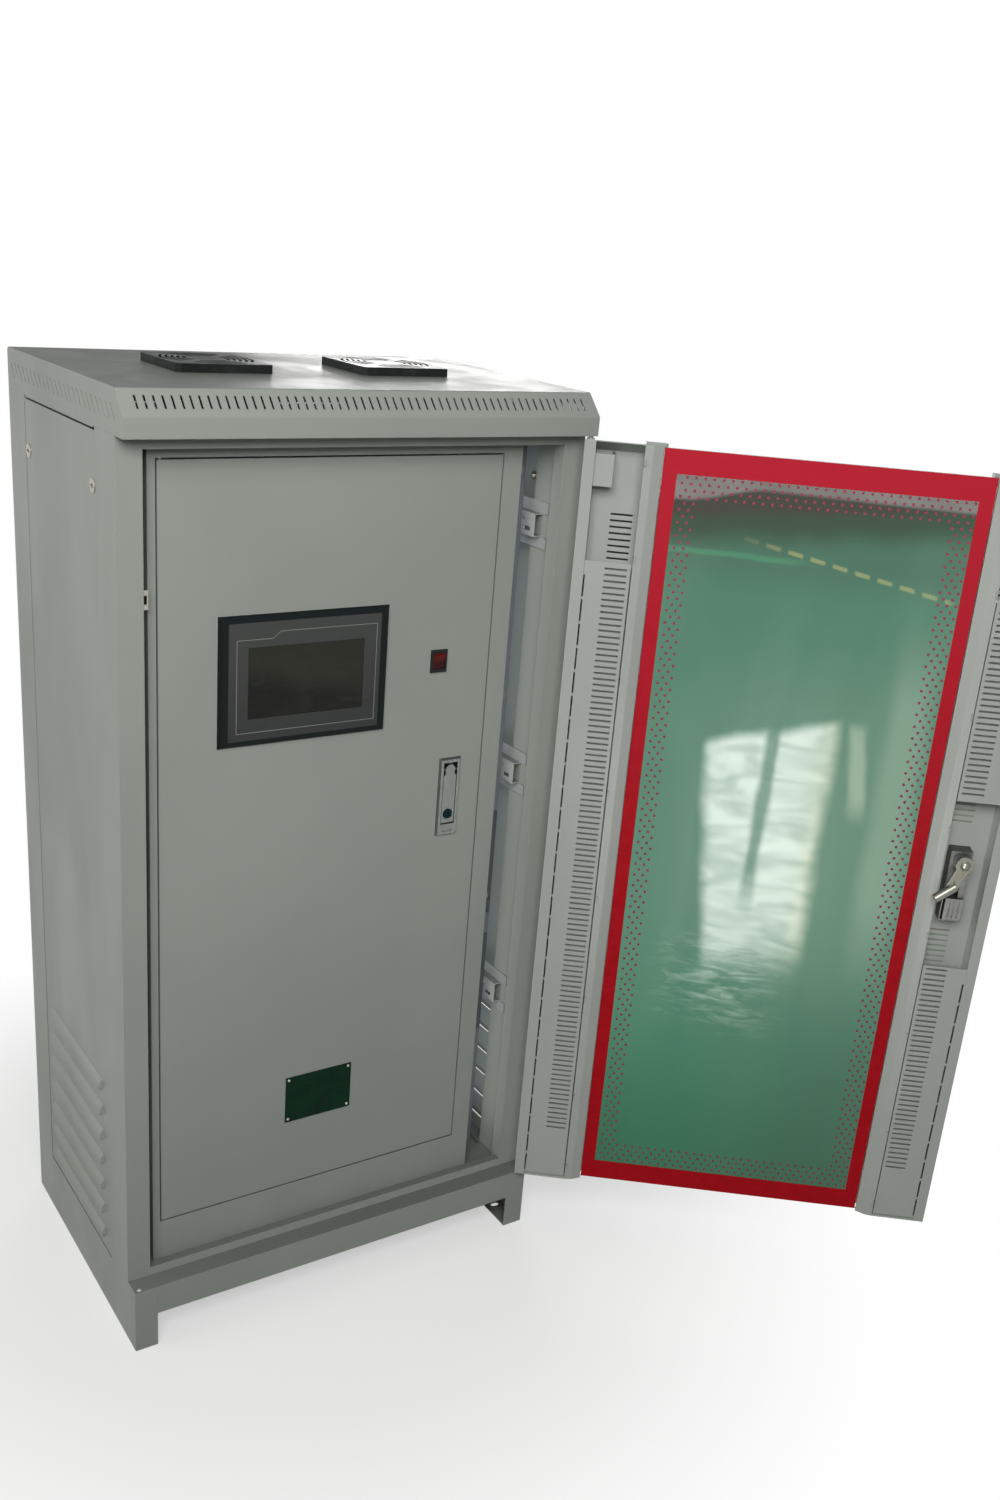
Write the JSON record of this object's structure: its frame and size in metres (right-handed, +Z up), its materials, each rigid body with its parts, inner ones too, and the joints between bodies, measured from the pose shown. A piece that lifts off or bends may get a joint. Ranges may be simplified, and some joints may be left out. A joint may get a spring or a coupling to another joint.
{
  "type": "automated guided vehicle charger",
  "caption": "Floor-standing charger cabinet with a glazed door standing open, a control door with touch screen and switch, and roof fans.",
  "frame": {"origin": "on the floor, in the middle of the cabinet's footprint without the open door", "axes": "+X to the right seen from the front, +Y to the back, +Z up; the front faces -Y"},
  "size_m": [1.0605, 0.7786, 1.223],
  "materials": {
    "cabinet_paint": "light grey powder coat, satin",
    "door_paint": "light grey powder coat, satin",
    "inner_steel": "bluish grey powder coat",
    "zinc": "zinc plated, satin",
    "black_metal": "black powder coat",
    "satin_chrome": "satin chrome",
    "black_plastic": "matt black moulding",
    "red_plastic": "translucent red",
    "screen": "dark screen glass",
    "clear_glass": "clear toughened glass with a light green tint",
    "red_print": "printed border on glass",
    "green_enamel": "dark green enamel",
    "teal_button": "dark teal anodised",
    "module_paint": "dark grey powder coat"
  },
  "bodies": {
    "cabinet": {"left_skid": "cabinet_paint", "right_skid": "cabinet_paint", "base_front_rail": "cabinet_paint", "base_rear_rail": "cabinet_paint", "floor_plate": "cabinet_paint", "gland_plate": "black_plastic", "front_sill": "cabinet_paint", "front_header": "cabinet_paint", "rear_sill": "cabinet_paint", "rear_header": "cabinet_paint", "side_top_rails": "cabinet_paint", "front_left_post": "cabinet_paint", "front_right_post": "cabinet_paint", "rear_left_post": "cabinet_paint", "rear_right_post": "cabinet_paint", "top_cover": "cabinet_paint", "left_side_panel": "cabinet_paint", "right_side_panel": "cabinet_paint", "rear_panel": "cabinet_paint", "left_fan_guard": "black_plastic", "right_fan_guard": "black_plastic", "left_fan_frame": "black_plastic", "right_fan_frame": "black_plastic", "rack_uprights": "inner_steel", "depth_braces": "inner_steel", "cage_nuts": "zinc", "upper_power_module": "module_paint", "lower_power_module": "module_paint", "breaker_panel": "inner_steel", "control_surround": "cabinet_paint", "left_catch": "black_metal", "control_door_pins": "zinc", "door_hinge_pins": "zinc"},
    "glazed_door": {"hinge_stile": "door_paint", "latch_stile": "door_paint", "door_glass": "clear_glass", "glass_border": "red_print", "hinge_stile_cover": "door_paint", "latch_stile_covers": "door_paint", "swing_handle_body": "black_metal"},
    "swing_handle": {"swing_handle": "black_metal"},
    "lock_lever": {"lock_lever": "zinc"},
    "control_door": {"control_door": "cabinet_paint", "screen_bezel": "black_plastic", "screen_glass": "screen", "screen_housing": "black_plastic", "rocker_bezel": "black_plastic", "panel_lock_body": "satin_chrome", "nameplate": "green_enamel", "nameplate_rivets": "zinc"},
    "rocker": {"rocker": "red_plastic"},
    "panel_lock_handle": {"panel_lock_handle": "satin_chrome"},
    "panel_lock_button": {"panel_lock_button": "teal_button"},
    "panel_lock_cam": {"panel_lock_cam": "zinc"},
    "left_fan_rotor": {"left_fan_rotor": "black_plastic"},
    "right_fan_rotor": {"right_fan_rotor": "black_plastic"},
    "left_front_latch": {"left_front_latch": "zinc"},
    "left_rear_latch": {"left_rear_latch": "zinc"},
    "right_front_latch": {"right_front_latch": "zinc"},
    "right_rear_latch": {"right_rear_latch": "zinc"}
  },
  "joints": [
    {"name": "glazed_door_hinge", "type": "hinge", "parent": "cabinet", "child": "glazed_door", "pos_m": [0.293, -0.1974, 0.0955], "axis": [0, 0, 1], "range_deg": [-142, 28]},
    {"name": "swing_handle_lift", "type": "hinge", "parent": "glazed_door", "child": "swing_handle", "pos_m": [0.73317, -0.51477, 0.6815], "axis": [0.788, -0.6157, 0], "range_deg": [0, 60]},
    {"name": "lock_lever_turn", "type": "hinge", "parent": "glazed_door", "child": "lock_lever", "pos_m": [0.70654, -0.5521, 0.6615], "axis": [0.6157, 0.788, 0], "range_deg": [0, 90]},
    {"name": "control_door_hinge", "type": "hinge", "parent": "cabinet", "child": "control_door", "pos_m": [-0.241, -0.148, 0.1535], "axis": [0, 0, -1], "range_deg": [0, 110]},
    {"name": "rocker_tilt", "type": "hinge", "parent": "control_door", "child": "rocker", "pos_m": [0.1225, -0.1495, 0.8795], "axis": [-1, 0, 0], "range_deg": [0, 18]},
    {"name": "panel_lock_handle_lift", "type": "hinge", "parent": "control_door", "child": "panel_lock_handle", "pos_m": [0.1495, -0.1546, 0.731], "axis": [-1, 0, 0], "range_deg": [0, 35]},
    {"name": "panel_lock_button_press", "type": "slide", "parent": "control_door", "child": "panel_lock_button", "axis": [0, 1, 0], "range_m": [0, 0.002], "stiffness_N_per_m": 300},
    {"name": "panel_lock_cam_turn", "type": "hinge", "parent": "control_door", "child": "panel_lock_cam", "pos_m": [0.1495, -0.1365, 0.7145], "axis": [0, -1, 0], "range_deg": [0, 90]},
    {"name": "left_fan_spin", "type": "hinge", "parent": "cabinet", "child": "left_fan_rotor", "pos_m": [-0.1195, 0.0195, 1.19], "axis": [0, 0, 1], "continuous": true},
    {"name": "right_fan_spin", "type": "hinge", "parent": "cabinet", "child": "right_fan_rotor", "pos_m": [0.1195, 0.0195, 1.19], "axis": [0, 0, 1], "continuous": true},
    {"name": "left_front_latch_turn", "type": "hinge", "parent": "cabinet", "child": "left_front_latch", "pos_m": [-0.2994, -0.1033, 1.1], "axis": [1, 0, 0], "range_deg": [0, 90]},
    {"name": "left_rear_latch_turn", "type": "hinge", "parent": "cabinet", "child": "left_rear_latch", "pos_m": [-0.2994, 0.1293, 1.1], "axis": [-1, 0, 0], "range_deg": [0, 90]},
    {"name": "right_front_latch_turn", "type": "hinge", "parent": "cabinet", "child": "right_front_latch", "pos_m": [0.2994, -0.1033, 1.1], "axis": [1, 0, 0], "range_deg": [0, 90]},
    {"name": "right_rear_latch_turn", "type": "hinge", "parent": "cabinet", "child": "right_rear_latch", "pos_m": [0.2994, 0.1293, 1.1], "axis": [-1, 0, 0], "range_deg": [0, 90]}
  ]
}
